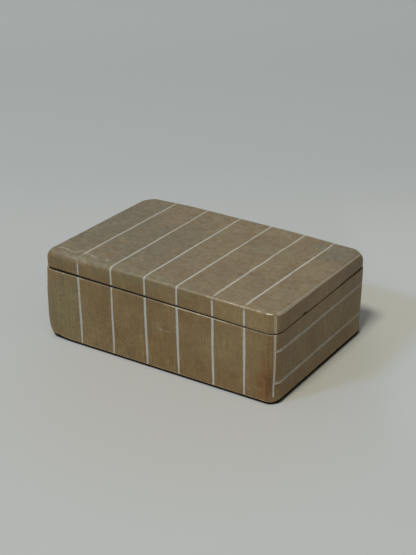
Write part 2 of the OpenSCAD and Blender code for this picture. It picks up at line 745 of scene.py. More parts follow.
class Stain(NamedTuple):
    """A soft patch in the stone: its middle and reach in millimetres, its colour and its strength."""

    centre: Point
    reach: Point
    shade: str
    strength: float


class Nick(NamedTuple):
    """A hair-thin scratch along a path, or a chip at one point: half its width, paleness and stray."""

    path: tuple[Point, ...]
    half: float
    strength: float
    stray: float = 3.0


@dataclass(frozen=True)
class StoneFinish:
    """Rubbed soft stone: tan with brown clouds and stains, and pale where it is scratched or worn, with
    painted highlights on worn edges, painted sheen with the dust on faces that look up and painted shade
    along the foot and in the seam.
    """

    name: str
    stains: tuple[Stain, ...]
    nicks: tuple[Nick, ...]
    tan: str = "78623c"
    brown: str = "6d5732"
    olive: str = "70633f"
    pale: str = "b0aea4"  # Scratched stone
    worn_and_highlight: str = "cabd9e"  # Stone on worn edges, which also serves as a painted highlight there
    raw: str = "8d7c5a"  # Stone left unrubbed inside
    dirt_and_painted_shade: str = "1e140b"  # Dirt in pits, and the painted shade along the foot and in the seam
    dust_and_sheen_tint: str = "a3a9a4"  # Dust that lies on faces that look up, which also paints their sheen
    # How much dust and painted sheen the faces that look up get
    dust_and_sheen: float = 0.28
    dullness: float = 0.5
    relief: float = 0.15  # How high the stone's texture is, in millimetres
    pits: float = 0.22  # How many pits there are in a millimetre
    mottle: Layer = Layer(0.3, 4.0, 0.6)  # Blotches some millimetres wide
    grain: Layer = Layer(1.7, 2.0, 0.6)  # The finest flecks
    streaks: Layer = Layer(1.0, 3.0, 0.65, stretch=(1.1, 1.1, 0.06))  # Upright streaks on the walls
    # A tool's level marks on the stone left unrubbed
    marks: Layer = Layer(1.0, 3.0, 0.6, 1.0, stretch=(0.25, 0.25, 1.4))
    clouds: Layer = Layer(0.055, 5.0, 0.6, 0.5)  # Where the stone is brown or tan
    patches: Layer = Layer(0.035, 4.0, 0.55, shift=(311.0, 57.0, 23.0))  # Where it is olive
    ragged: Layer = Layer(0.12, 4.0, 0.6, shift=(17.0, 91.0, 203.0))  # The ragged edges of stains
    swirl: Layer = Layer(0.3, 3.0)  # How nicks stray

    def material(self) -> bpy.types.Material:
        """Build the material.

        Returns:
            The material, which reads what is stored at a piece's points.
        """
        made, graph = blank_material(self.name)
        place = graph.vector("SCALE", graph.node("ShaderNodeTexCoord", out="Object"), scale=1 / MM)
        normal = graph.node("ShaderNodeTexCoord", out="Normal")
        facing = graph.node("ShaderNodeSeparateXYZ", {}, {0: normal}, "Z")
        upright = graph.math("ABSOLUTE", facing).rise(0.75, 0.35)
        mottle, grain = graph.noise(place, self.mottle), graph.noise(place, self.grain)
        blotch, fleck = mottle - 0.5, grain - 0.5
        streaks = (graph.noise(place, self.streaks) - 0.5) * upright
        marks = graph.noise(place, self.marks)
        inside = graph.stored("inside")
        # Clouds and stains, unrubbed stone inside, and light and dark flecks over both
        colour = self.ground(graph, place, streaks)
        colour = graph.blend(inside.rise(0.1, 0.9) * 0.8, colour, self.raw)
        shade = 1 + blotch * 0.6 + fleck * (0.85 + upright * (1 - inside) * 0.75)
        shade = shade + streaks * 0.85 + (marks - 0.5) * inside * 0.6
        grey = graph.node("ShaderNodeCombineXYZ", {}, {0: shade, 1: shade, 2: shade})
        colour = graph.vector("MULTIPLY", colour, grey)
        # Dust with painted sheen on faces that look up, pits, worn edges with painted highlights, nicks and
        # lines
        dust_and_sheen = facing.rise(0.5, 0.95) * (mottle * 1.2 + grain * 0.6 - 0.4) * self.dust_and_sheen
        pits = graph.node("ShaderNodeTexVoronoi", {}, {"Vector": place, "Scale": self.pits}, "Distance")
        pit = pits.rise(0.11, 0.05) * mottle.rise(0.5, 0.62)
        wear = (graph.stored("wear") + fleck * 0.5 + blotch * 0.6).rise(0.55, 1.0)
        scars = self.scars(graph, place, normal, grain)
        gap = graph.stored("line_gap") * (1 / MM) + fleck * 0.4
        line = gap.rise(0.12, -0.1) * graph.stored("line_chalk")
        for share, tint in ((dust_and_sheen, self.dust_and_sheen_tint), (pit * 0.35, self.dirt_and_painted_shade), (wear * 0.85, self.worn_and_highlight),
                            (scars, self.pale), (line * (0.75 + grain * 0.4), self.pale)):
            colour = graph.blend(share, colour, tint)
        # The stone's texture and shine, and a matt dark layer over it that is painted shade along the foot
        # and in the seam
        height = grain * 0.5 + mottle * 0.8 + streaks * 0.5 + marks * inside * 2.0 - pit
        relief = {"Strength": 0.4, "Distance": self.relief * MM, "Height": height}
        stone = {"Base Color": colour, "Normal": graph.node("ShaderNodeBump", {}, relief),
                 "Roughness": self.dullness + blotch * 0.2 + line * 0.3 + inside * 0.25}
        painted_shade_layer = {"Base Color": linear(self.dirt_and_painted_shade), "Roughness": 1.0, "Specular IOR Level": 0.0}
        painted_shade_share = (graph.stored("grime") * (0.5 + mottle)).rise(0.0, 0.9) * 0.95
        layers = [graph.node("ShaderNodeBsdfPrincipled", {}, inputs) for inputs in (stone, painted_shade_layer)]
        graph.surface(graph.node("ShaderNodeMixShader", {}, dict(enumerate((painted_shade_share, *layers)))))
        return made

    def ground(self, graph: Graph, place: Term, streaks: Term) -> Term:
        """Build the stone's clouds and stains.

        Args:
            graph: The tree to build in.
            place: The place in the stone, in millimetres.
            streaks: Upright streaks about 0, which the stains follow.

        Returns:
            The colour.
        """
        ragged = (graph.noise(place, self.ragged) - 0.5) * 1.6 + streaks * 1.2
        colour = graph.blend(graph.noise(place, self.clouds).rise(0.36, 0.64), self.brown, self.tan)
        colour = graph.blend(graph.noise(place, self.patches).rise(0.5, 0.7) * 0.6, colour, self.olive)
        for stain in self.stains:
            scaled = graph.vector("DIVIDE", graph.vector("SUBTRACT", place, stain.centre), stain.reach)
            spread = (graph.vector("LENGTH", scaled) + ragged).rise(1.15, 0.25)
            colour = graph.blend(spread * stain.strength, colour, stain.shade)
        return colour

    def scars(self, graph: Graph, place: Term, normal: Term, grain: Term) -> Term:
        """Draw the nicks.

        Args:
            graph: The tree to build in.
            place: The place in the stone, in millimetres.
            normal: The way out of the stone, across which the nicks don't stray.
            grain: Fine noise that breaks the nicks up.

        Returns:
            How pale the stone is, from 0 to 1.
        """
        swirl = graph.vector("SUBTRACT", graph.noise(place, self.swirl, "Color"), (0.5, 0.5, 0.5))
        level = graph.vector("SUBTRACT", (1.0, 1.0, 1.0), graph.vector("ABSOLUTE", normal))
        stray = graph.vector("MULTIPLY", swirl, level)
        total = graph.node("ShaderNodeValue")
        total.socket.default_value = 0.0
        for nick in self.nicks:
            strayed = graph.vector("ADD", place, graph.vector("SCALE", stray, scale=nick.stray))
            for start, end in zip(nick.path, nick.path[1:] or nick.path):
                span = Vector(end) - Vector(start)
                past = graph.vector("SUBTRACT", strayed, start)
                if span.length:
                    share = graph.vector("DOT_PRODUCT", past, span / span.length_squared)
                    share = graph.math("MINIMUM", graph.math("MAXIMUM", share, 0.0), 1.0)
                    past = graph.vector("SUBTRACT", past, graph.vector("SCALE", span, scale=share))
                near = graph.vector("LENGTH", past).rise(nick.half + 0.35, nick.half * 0.4)
                total = graph.math("MAXIMUM", total, near * nick.strength)
        return total * (0.3 + 0.7 * grain.rise(0.35, 0.6))


@dataclass(frozen=True)
class FloorFinish:
    """Plain pale paper under the box, with painted warm bounce light round its front, painted light to its
    right, painted shade behind it and painted light farther back.
    """

    light: str = "b3b5b2"
    dark: str = "b0b2af"
    painted_bounce: str = "b2b1ab"  # Painted warm bounce light round the front of the box
    painted_light: str = "b6b8b6"  # Painted light to the right of it
    painted_shade_behind: str = "acb0af"  # Painted shade behind it
    far: str = "b3b7b6"  # Painted light farther back, where the paper is lighter
    dullness: float = 0.9
    clouds: Layer = Layer(6.0, 4.0)  # Where it is lighter or darker, by the metre
    painted_bounce_centre: Point = (0.03, -0.06, 0.0)  # The middle of the painted bounce light, in metres
    backwards: Point = (-0.55, 0.83, 0.0)  # The level direction to the back of the picture
    rightwards: Point = (0.84, 0.54, 0.0)  # The level direction to its right

    def material(self) -> bpy.types.Material:
        """Build the material.

        Returns:
            The material, laid out in metres from the middle of the box.
        """
        made, graph = blank_material("pale_floor")
        place = graph.node("ShaderNodeTexCoord", out="Object")
        beside = graph.vector("LENGTH", graph.vector("SUBTRACT", place, self.painted_bounce_centre))
        behind = graph.vector("DOT_PRODUCT", place, self.backwards)
        right = graph.vector("DOT_PRODUCT", place, self.rightwards)
        near = behind.rise(0.24, 0.1) * behind.rise(-0.16, -0.08)
        colour = graph.blend(graph.noise(place, self.clouds), self.dark, self.light)
        # Painted bounce light, painted light, painted shade and painted light farther back over the paper's
        # clouds
        for share, tint in ((beside.rise(0.14, 0.05), self.painted_bounce),
                            (right.rise(0.08, 0.11) * near, self.painted_light),
                            (behind.rise(0.14, 0.28), self.painted_shade_behind), (behind.rise(0.48, 0.8), self.far)):
            colour = graph.blend(share, colour, tint)
        paper = {"Base Color": colour, "Roughness": self.dullness}
        graph.surface(graph.node("ShaderNodeBsdfPrincipled", {}, paper))
        return made


class CrossLine(NamedTuple):
    """A line up the front, over the lid and down the back, in millimetres.

    It has its place along the length at the seam, how far its foot and its back end stand to the right
    of that, its paleness, how much of it is missing at the lid's front edge, and how far from there.
    """

    place: float
    foot: float
    back: float
    chalk: float
    skip: float = 0.0
    bare: float = 2.5


CROSS_LINES = (
    CrossLine(-50.3, 0.5, 0.1, 0.82, 0.95),
    CrossLine(-27.6, 0.1, -0.6, 0.86),
    CrossLine(-5.4, 0.6, -0.1, 0.92),
    CrossLine(15.3, 0.4, 0.4, 0.95),
    CrossLine(37.4, 0.3, 0.5, 1.0, 0.7, 1.4),
    CrossLine(56.7, 0.1, 0.8, 1.0, 0.8, 1.4),
)
# Heights of the lines across the ends
END_LINES = (13.15, 31.75)
# How far a line runs past the seam, into the gap
PAST_SEAM = 0.5


@dataclass(frozen=True)
class BoxSizes:
    """Sizes that the body and the lid share, in millimetres."""

    half_x: float
    half_y: float
    seam: float  # The height of the seam in the frame
    top: float  # The height of the lid in the frame
    wall: float = 9.0
    seam_fall: float = 0.8  # How far the seam falls from the middle to the right end
    # How far the middle of the sloping top lies below its highest corner in the frame
    top_drop: float = 1.87
    top_fall_x: float = 0.82  # How far the lid falls from the middle to the right end
    top_fall_y: float = 1.06  # How far the lid falls from the middle to the back

    @classmethod
    def from_frame(cls) -> "BoxSizes":
        """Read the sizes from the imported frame."""
        body_high, lid_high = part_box("box_body")[1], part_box("lid")[1]
        return cls(body_high.x / MM, body_high.y / MM, body_high.z / MM, lid_high.z / MM)

    def seam_at(self, x: float) -> float:
        """Give the height of the hand-cut seam at a place along the length."""
        return self.seam - self.seam_fall * x / self.half_x

    def top_at(self, x: float, y: float) -> float:
        """Give the height of the hand-cut top at a place in plan."""
        fall = self.top_fall_x * x / self.half_x + self.top_fall_y * y / self.half_y
        return self.top - self.top_drop - fall

    def outline(self, corners: Corners, step: float) -> Outline:
        """Give an outline of the box, with short steps at the lines and a long one between them."""
        places = tuple(line.place for line in CROSS_LINES)
        return Outline(self.half_x, self.half_y, corners, Steps(step), places)

    def plain_outline(self, corners: Corners) -> Outline:
        """Give a coarse outline of the box, to lay lines along."""
        return Outline(self.half_x, self.half_y, corners, Steps(3.0, 1.0, 0.5))

    def inner_outline(self, inset: float, corner: float) -> Outline:
        """Give a coarse outline inside the walls."""
        corners = Corners(corner, corner, corner, corner)
        return Outline(self.half_x - inset, self.half_y - inset, corners, Steps(4.0, 0.8, 0.1))


# The body's values that change along a side
LEAN_FRONT = Along(((-76.0, 0.6), (76.0, -0.15)), smooth=False)
LEAN_RIGHT = Along(((-50.0, -0.5), (50.0, -1.0)), smooth=False)
TOE_RIGHT = Along(((-50.0, 0.0), (50.0, 0.9)), smooth=False)
FOOT_FRONT = Along(((-74.0, 4.0), (-58.0, 2.0)))
RIM_WEAR_AND_HIGHLIGHT_FRONT = Along(((-52.0, 0.75), (-40.0, 0.55), (2.0, 0.55), (12.0, 0.95),
                      (42.0, 0.95), (50.0, 0.55)))


@dataclass
class StoneBody:
    """The hollow lower block, in millimetres."""

    sizes: BoxSizes
    corners: Corners = Corners(6.8, 6.5, 6.7, 8.0)
    step: float = 1.3  # The step along its outline between lines
    rise: Steps = Steps(1.3, 0.2, 1.4)
    # How far each wall stands out at the foot, and less and less up to the seam
    lean: Around = Around(LEAN_FRONT, LEAN_RIGHT, 0.2, 0.4, front_left=-0.1, front_right=-0.4)
    # How far it stands out beyond that, at the toe, halfway up and under the rim
    bulges: tuple[Bulge, ...] = (
        Bulge(Around(right=TOE_RIGHT, back_right=-1.8), Along(((2.0, 1.0), (10.0, 0.0)))),
        Bulge(Around(front_left=0.75), Along(((1.0, 0.0), (15.0, 1.0), (26.0, 1.0), (42.0, 0.0)))),
        Bulge(Around(back_right=0.3), Along(((10.0, 0.0), (38.0, 1.0)))),
    )
    face: Swell = Swell(0.12, 24.0)
    face_from: float = 4.0  # The height where that swell is full
    # How far in the rounding of the bottom edge goes, and how far up
    foot_in: Around = Around(FOOT_FRONT, 1.5, 2.2, 4.8, front_left=2.4, back_right=2.0)
    foot_up: Around = Around(FOOT_FRONT, 3.2, 2.2, 5.6, front_left=2.4, front_right=-0.5, back_right=2.0)
    foot_wear_and_highlight: float = 0.85  # How worn the stone just over that edge is, and how strong the painted highlight there is
    painted_shade_to: float = 3.2  # How high the painted shade on that edge reaches
    plain_from: float = 8.0  # The height where every side is a plain wall
    edge_break: float = 0.5  # The softening of the rim's outer edge
    # How worn the rim's outer edge is, also a painted highlight there
    rim_wear_and_highlight: Around = Around(RIM_WEAR_AND_HIGHLIGHT_FRONT, 0.55, 0.55, 0.55)
    # How much painted shade the rim has at some distances in from its edge, the shade of the lid's gap
    rim_painted_shade: tuple[tuple[float, float], ...] = ((1.0, 0.55), (2.2, 0.35), (5.0, 0.2))
    floor: float = 9.0  # The height of the cavity's floor
    cavity_corner: float = 6.0
    cavity_fillet: float = 3.0
    mouth_break: float = 0.6
    line_half: float = 0.67  # Half a scratched line's width
    # What share of that width a line has, by how far up it is
    line_taper: Along = Along(((0.0, 0.65), (0.2, 1.0)))
    line_foot: float = 2.6  # The height where the upright lines stop
    # Half the width of the lines on the corners, at the foot and at the seam
    corner_half: tuple[float, float] = (0.4675, 0.66)
    corner_chalk: float = 0.75
    # How far the lower end of each of them stands round to the right
    corner_lean: Around = Around(front_right=-0.7)
    corner_foot: float = 5.0  # The height where they stop
    end_half: float = 0.85  # Half the width of the lines across the ends
    end_chalk: Along = Along(((-10.0, 0.6), (50.0, 0.42)))
    end_breaks: float = 0.6

    def swell(self, station: Station, z: float) -> float:
        """Tell how far the hand-cut wall stands out at a height."""
        lean = self.lean.at(station) * (1 - z / self.sizes.seam)
        return lean + sum(bulge.out.at(station) * bulge.share.at(z) for bulge in self.bulges)

    def outer_profile(self, station: Station) -> list[Row]:
        """List the profile from the rest face up to the rim.

        Args:
            station: Where on the outline.

        Returns:
            The profile's points.
        """
        seam, soft, edge_wear_and_highlight = self.sizes.seam_at(station.x), self.edge_break, self.rim_wear_and_highlight.at(station)
        level, up = self.foot_in.at(station), self.foot_up.at(station)
        rows = []
        # The rounding's underside gets painted shade, a dark band like the shadow under the box
        for turn in quarter(12):
            z = up * (1 - math.cos(turn))
            dirt_and_painted_shade = ease(1.0, 0.85, z / min(up, self.painted_shade_to))
            rows.append(Row(level * (1 - math.sin(turn)), z, grime=dirt_and_painted_shade))
        # A thin worn line with a painted highlight just above the dark band
        rows.append(Row(0.0, up + 0.15, self.foot_wear_and_highlight))
        rows += [Row(0.0, z) for z in evenly(up + 0.6, self.plain_from, 4)]
        # The wall's rows are level up to its upper end line, and then they come to follow the seam
        high, nominal = seam - soft, self.sizes.seam - soft
        for z in packed(self.plain_from, nominal, END_LINES, self.rise)[1:]:
            rows.append(Row(0.0, z + (high - nominal) * ease(END_LINES[-1] + 1.5, nominal, z)))
        # The rim's rounded edge gets wear and a painted highlight
        for turn in quarter(5)[1:]:
            inset, z = soft * (1 - math.cos(turn)), high + soft * math.sin(turn)
            rows.append(Row(inset, z, edge_wear_and_highlight * math.sin(2 * turn)))
        # The rim gets painted shade near its edge, under the seam
        return rows + [Row(inset, seam, grime=dirt_and_painted_shade) for inset, dirt_and_painted_shade in self.rim_painted_shade]

    def inner_profile(self, station: Station) -> list[Row]:
        """List the profile from the mouth down to the cavity's floor.

        Args:
            station: Where on the cavity's outline.

        Returns:
            The profile's points.
        """
        seam, fillet = self.sizes.seam_at(station.x), self.cavity_fillet
        low = self.floor + fillet
        rows = [Row(-self.mouth_break, seam)]
        rows += [Row(0.0, z) for z in evenly(seam - self.mouth_break, low, 6)]
        for turn in quarter(5)[1:]:
            rows.append(Row(fillet * (1 - math.cos(turn)), low - fillet * math.sin(turn)))
        return rows

    def mesh(self) -> bpy.types.Object:
        """Build the block's mesh, without its lines.

        Returns:
            The block.
        """
        shell = Shell()
        ring = self.sizes.outline(self.corners, self.step).ring()
        columns = []
        for station in ring:
            column = []
            for row in self.outer_profile(station):
                point = station.at(row.inset - self.swell(station, row.z), row.z)
                point += station.out() * self.face.at(point) * ease(0.0, self.face_from, row.z)
                column.append(shell.add(point, wear=row.wear, grime=row.grime))
            columns.append(column)
        outer = list(zip(*columns))
        shell.loft(outer)
        shell.faces.append(outer[0])
        hollow = self.sizes.inner_outline(self.sizes.wall, self.cavity_corner).ring()
        inner = shell.unrubbed(hollow, self.inner_profile)
        shell.lace(outer[-1], ring, inner[0], hollow)
        shell.loft(inner)
        shell.faces.append(inner[-1])
        return shell.build("carved_body")

    def scratches(self) -> Scratches:
        """Lay out the lines on the front, the back, the corners and the ends.

        Returns:
            The lines.
        """
        sizes, lines = self.sizes, Scratches()
        shares = evenly(0.0, 1.0, 16)
        for number, line in enumerate(CROSS_LINES):
            for out in (-1.0, 1.0):
                cuts = []
                for share in shares:
                    z = mix(self.line_foot, sizes.seam_at(line.place) + PAST_SEAM, share)
                    lean = line.back if out > 0 else line.foot * (1 - z / sizes.seam)
                    x = line.place + lean + waver(z, Stray.CROSS + number)
                    spot = Vector((x, out * sizes.half_y, z))
                    width = 1 + waver(z, Stray.CROSS_WIDTH + number)
                    half = self.line_half * width * self.line_taper.at(share)
                    cuts.append(Cut(spot, Vector((0.0, out, 0.0)), half, line.chalk))
                lines.add(cuts)
        plan = sizes.plain_outline(self.corners)
        for side in Side:
            station = plan.side(side)[0]
            across = Vector((-station.out_y, station.out_x, 0.0))
            cuts = []
            for share in shares:
                z = mix(self.corner_foot, sizes.seam_at(station.x) + PAST_SEAM, share)
                lean = self.corner_lean.at(station) * (1 - z / sizes.seam) + waver(z, Stray.CORNER + side)
                spot = station.at(-self.swell(station, z), z) + across * lean
                cuts.append(Cut(spot, station.out(), mix(*self.corner_half, share), self.corner_chalk))
            lines.add(cuts)
        for side in (Side.RIGHT, Side.LEFT):
            for number, height in enumerate(END_LINES):
                cuts = []
                for station in plan.end(side):
                    spot = station.at(0.0, height + waver(station.y, Stray.END + number + side))
                    broken = 1 + waver(station.y * 8, Stray.END_CHALK + number, self.end_breaks)
                    chalk = self.end_chalk.at(station.y) * broken
                    cuts.append(Cut(spot, station.out(), self.end_half, chalk))
                lines.add(cuts)
        return lines

    def build(self, finish: StoneFinish) -> bpy.types.Object:
        """Make the body and put it on its frame.

        Args:
            finish: What it is made of.

        Returns:
            The finished piece.
        """
        made = self.mesh()
        self.scratches().carve(made, finish.material())
        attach(made, "body")
        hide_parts("box_body")
        return made


# The lid's values that change along a side
GAP_FRONT = Along(((-76.0, 1.6), (76.0, 0.55)), smooth=False)
GAP_RIGHT = Along(((0.0, 0.6), (50.0, 1.4)))
EDGE_FRONT = Along(((-62.0, 4.5), (-5.0, 1.5)))
EDGE_RIGHT = Along(((15.0, 2.2), (48.0, 4.4)))
EDGE_BACK = Along(((-70.0, 6.0), (-36.0, 3.2), (25.0, 3.2), (75.0, 5.8)))
WORN_AND_HIGHLIGHT_FRONT = Along(((-14.0, 0.0), (12.0, 0.62), (30.0, 0.62), (38.0, 0.84),
                    (65.0, 0.84), (67.0, 0.34), (68.6, 0.34), (70.2, 1.24)))
CHIPPED_FRONT = Along(((-45.0, 1.0), (-25.0, 0.0)))


@dataclass
class StoneLid:
    """The loose slab on top, with the tongue under it, in millimetres."""

    sizes: BoxSizes
    corners: Corners = Corners(7.5, 6.5, 7.0, 11.0)
    step: float = 1.1
    drawn_in: Around = Around(left=0.6)  # How far each side stands back from the body's
    face: Swell = Swell(0.12, 24.0, (90.0, 0.0, 0.0))
    top_face: Swell = Swell(0.12, 26.0, (0.0, 40.0, 0.0))
    # How far in that swell is full, as a share of the length times one of the depth
    top_rim: float = 0.004444
    edge_break: float = 0.4  # The softening of its lower edge
    # The shadow gap that the hand-cut seat leaves at the edge
    gap: Around = Around(GAP_FRONT, GAP_RIGHT, 0.7, 1.2)
    # The depth of the chip in the right end's lower edge, its place along y and its reach
    chip: Point = (0.8, -21.0, 1.7)
    ragged: Swell = Swell(0.25, 4.0, (0.0, 0.0, 20.0))
    seat_in: float = 5.5  # How far in from the edge it rests on the rim
    # How far in the rounding of the top edge goes, and how far down
    edge_in: Around = Around(EDGE_FRONT, EDGE_RIGHT, EDGE_BACK, 6.9, back_right=0.9, back_left=1.0)
    edge_down: Around = Around(EDGE_FRONT, EDGE_RIGHT, EDGE_BACK, 8.3, back_right=2.0, back_left=1.5)
    # How worn the top's edge is and how strong its painted highlight is, brightest at the front right
    # corner
    worn_and_highlight: Around = Around(WORN_AND_HIGHLIGHT_FRONT)
    chipped: Around = Around(CHIPPED_FRONT, front_left=0.3)
    chips: Swell = Swell(0.4, 3.5)
    tongue_depth: float = 5.0
    tongue_clearance: float = 0.5
    tongue_corner: float = 5.5
    tongue_lead: float = 1.0  # The cut round the tongue's lower edge
    line_half: float = 0.56
    turn_front: float = 1.5  # How far from the top's front edge a line turns over it
    turn_back: float = 2.5  # How far from the top's back edge it turns down
    # How far a line stands to the right on the top, from front to back
    top_shift: Along = Along(((-50.0, 0.0), (-42.0, -0.4)))
    # What share of its width it has there, at the front end and at the back end
    top_width: tuple[float, float] = (1.22, 1.02)
    # What share of its paleness it has there, from end to end
    top_chalk: Along = Along(((0.03, 0.8), (0.2, 0.95), (0.5, 0.95), (1.0, 0.8)))
    edge_half: float = 0.7  # Half the width of the lines along the end edges, halfway to the back
    edge_point: float = 110.0  # How far behind the middle those lines would end in a point
    edge_round: float = 0.6  # How far round the corners they go, as the outward direction's share along y
    edge_chalk: float = 0.4
    corner_half: float = 0.8
    corner_chalk: Around = Around(0.3, 0.3, 0.3, 0.3, front_right=0.15)

    def gap_at(self, station: Station) -> float:
        """Give the shadow gap at the edge, with the chip and the ragged edge of the right end.

        Args:
            station: Where on the outline.

        Returns:
            The gap's height.
        """
        depth, place, reach = self.chip
        chip = depth * math.exp(-((station.y - place) / reach) ** 2)
        ragged = abs(self.ragged.at(Vector((0.0, station.y, 0.0))))
        return self.gap.at(station) + Around(right=chip + ragged).at(station)

    def outer_profile(self, station: Station) -> list[Row]:
        """List the profile from the seat up to the top.

        Args:
            station: Where on the outline.

        Returns:
            The profile's points.
        """
        seam, soft = self.sizes.seam_at(station.x), self.edge_break
        level, down = self.edge_in.at(station), self.edge_down.at(station)
        inside = station.at(level, 0.0)
        low, end = seam + self.gap_at(station), self.sizes.top_at(inside.x, inside.y) - down
        # The seat and the underside at the gap get painted shade, deepening the gap's shadow
        rows = [Row(self.seat_in, seam, grime=1.0), Row(self.seat_in - 0.5, low, grime=1.2),
                Row(soft, low, grime=1.0)]
        for turn in quarter(3)[1:]:
            rows.append(Row(soft * (1 - math.sin(turn)), low + soft * (1 - math.cos(turn))))
        rows += [Row(0.0, z) for z in evenly(low + soft, end, 7)[1:]]
        # Wear and a painted highlight peak halfway round the top edge
        for turn in quarter(14)[1:]:
            inset, z = level * (1 - math.cos(turn)), end + down * math.sin(turn)
            rows.append(Row(inset, z, math.sin(2 * turn) ** 6))
        return rows

    def tongue_profile(self, station: Station) -> list[Row]:
        """List the profile from the seam down to the tongue's foot.

        Args:
            station: Where on the tongue's outline.

        Returns:
            The profile's points.
        """
        seam, lead = self.sizes.seam_at(station.x), self.tongue_lead
        foot = seam - self.tongue_depth
        return [Row(0.0, seam), Row(0.0, mix(seam, foot, 0.4)), Row(0.0, foot + lead), Row(lead, foot)]

    def mesh(self) -> bpy.types.Object:
        """Build the slab's mesh, without its lines.

        Returns:
            The slab.
        """
        sizes, shell = self.sizes, Shell()
        outline = sizes.outline(self.corners, self.step)
        ring = outline.ring()
        columns = []
        for station in ring:
            worn_and_highlight, chipped, inset = [v.at(station) for v in (self.worn_and_highlight, self.chipped, self.drawn_in)]
            column = []
            for row in self.outer_profile(station):
                point = station.at(row.inset + inset, row.z)
                if not row.grime:
                    point += station.out() * self.face.at(point)
                    point += (station.out() + UP) * (self.chips.at(point) * chipped * row.wear)
                column.append(shell.add(point, wear=row.wear * worn_and_highlight, grime=row.grime))
            columns.append(column)
        outer = list(zip(*columns))
        shell.loft(outer)
        self.close_top(shell, outer[-1], outline)
        tongue = sizes.inner_outline(sizes.wall + self.tongue_clearance, self.tongue_corner).ring()
        under = shell.unrubbed(tongue, self.tongue_profile)
        shell.lace(outer[0], ring, under[0], tongue)
        shell.loft(under)
        shell.faces.append(under[-1])
        return shell.build("carved_lid")

    def close_top(self, shell: Shell, rim: tuple[int, ...], outline: Outline) -> None:
        """Fill the top with a grid whose columns run from front to back.

        Args:
            shell: The mesh to add to.
            rim: The points round the top, in ring order.
            outline: The stations that they stand on.
        """
        across, deep = len(outline.side(Side.FRONT)), len(outline.side(Side.RIGHT))
        half = across + deep
        front, right = rim[:across + 1], rim[across:half + 1]
        back, left = rim[half:half + across + 1][::-1], (rim[half + across:] + rim[:1])[::-1]
        spot = shell.points
        grid = [left]
        for i in range(1, across):
            u = (spot[front[i]].x - spot[front[0]].x) / (spot[front[-1]].x - spot[front[0]].x)
            column = [front[i]]
            for j in range(1, deep):
                v = (spot[left[j]].y - spot[left[0]].y) / (spot[left[-1]].y - spot[left[0]].y)
                run = spot[front[i]].lerp(spot[back[i]], v) + spot[left[j]].lerp(spot[right[j]], u)
                front_at, back_at = [spot[row[0]].lerp(spot[row[-1]], u) for row in (front, back)]
                point = run - front_at.lerp(back_at, v)
                inwards = min(u, 1 - u) * min(v, 1 - v)
                point.z += self.top_face.at(point) * ease(0.0, self.top_rim, inwards)
                column.append(shell.add(point))
            grid.append(column + [back[i]])
        grid.append(right)
        for near, far in zip(grid, grid[1:]):
            for j in range(deep):
                shell.faces.append((near[j], far[j], far[j + 1], near[j + 1]))

    def cross_cuts(self, number: int, line: CrossLine) -> list[Cut]:
        """Lay one line up the lid's front, over its top and down its back.

        Args:
            number: The line's number.
            line: Where it runs.

        Returns:
            The line's points.
        """
        sizes, half, stray = self.sizes, self.line_half, Stray.CROSS + number
        deep, front = sizes.half_y, Vector((0.0, -1.0, 0.0))
        edge = sizes.top_at(line.place, -deep)
        cuts = []
        for z in evenly(sizes.seam_at(line.place) - PAST_SEAM, edge - self.turn_front, 8):
            chalk = line.chalk * (1 - line.skip * ease(edge - 1.6 * line.bare, edge - line.bare, z))
            cuts.append(Cut(Vector((line.place + waver(z, stray), -deep, z)), front, half, chalk))
        for share in evenly(0.0, 1.0, 32):
            y = mix(self.turn_front - deep, deep - self.turn_back, share)
            lean = line.back * (y + deep) / (2 * deep) + self.top_shift.at(y)
            x = line.place + lean + waver(y + 100.0, stray)
            chalk = line.chalk * (1 - line.skip * ease(2.4 * line.bare, 1.6 * line.bare, y + deep))
            spot = Vector((x, y, sizes.top_at(x, y)))
            cuts.append(Cut(spot, UP, half * mix(*self.top_width, share), chalk * self.top_chalk.at(share)))
        x = line.place + line.back
        for z in evenly(sizes.top_at(x, deep) - self.turn_back, sizes.seam_at(x) - PAST_SEAM, 8):
            cuts.append(Cut(Vector((x + waver(z + 200.0, stray), deep, z)), -front, half))
        return cuts

    def scratches(self) -> Scratches:
        """Lay out the lines over the lid, on its corners and along its end edges.

        Returns:
            The lines.
        """
        sizes, lines = self.sizes, Scratches()
        for number, line in enumerate(CROSS_LINES):
            lines.add(self.cross_cuts(number, line))
        plan = sizes.plain_outline(self.corners)
        for side in Side:
            station = plan.side(side)[0]
            top = sizes.top_at(station.x, station.y) - self.edge_down.at(station)
            heights = evenly(sizes.seam_at(station.x) - PAST_SEAM, top, 6)
            chalk = self.corner_chalk.at(station)
            lines.add(Cut(station.at(0.0, z), station.out(), self.corner_half, chalk) for z in heights)
        for side in (Side.RIGHT, Side.LEFT):
            cuts = []
            for station in plan.side(side):
                if abs(station.out_y) > self.edge_round:
                    continue
                spot = station.at(self.edge_in.at(station) * (1 - SLANT) + self.drawn_in.at(station), 0.0)
                spot.z = sizes.top_at(spot.x, spot.y) - self.edge_down.at(station) * (1 - SLANT)
                spot += (UP - station.out()) * SLANT * waver(station.y, Stray.EDGE)
                half = self.edge_half * (1 - station.y / self.edge_point)
                cuts.append(Cut(spot, (station.out() + UP) * SLANT, half, self.edge_chalk))
            lines.add(cuts)
        return lines

    def build(self, finish: StoneFinish) -> bpy.types.Object:
        """Make the lid and put it on its frame.

        Args:
            finish: What it is made of.

        Returns:
            The finished piece.
        """
        made = self.mesh()
        self.scratches().carve(made, finish.material())
        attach(made, "lid")
        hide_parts("lid")
        return made


class Lamp(NamedTuple):
    """A flat lamp that looks at the box, in millimetres and watts."""

    name: str
    place: Point  # Where it hangs
    size: tuple[float, float]  # Its width and height
    power: float
    colour: Point

    def hang(self) -> None:
        """Add the lamp to the scene."""
        data = bpy.data.lights.new(self.name, "AREA")
        data.shape = "RECTANGLE"
        data.size, data.size_y = self.size[0] * MM, self.size[1] * MM
        data.energy = self.power
        data.color = self.colour
        spot = Vector(self.place) * MM
        aimed = spot.to_track_quat("Z", "Y").to_matrix().to_4x4()
        linked(self.name, data).matrix_world = Matrix.Translation(spot) @ aimed


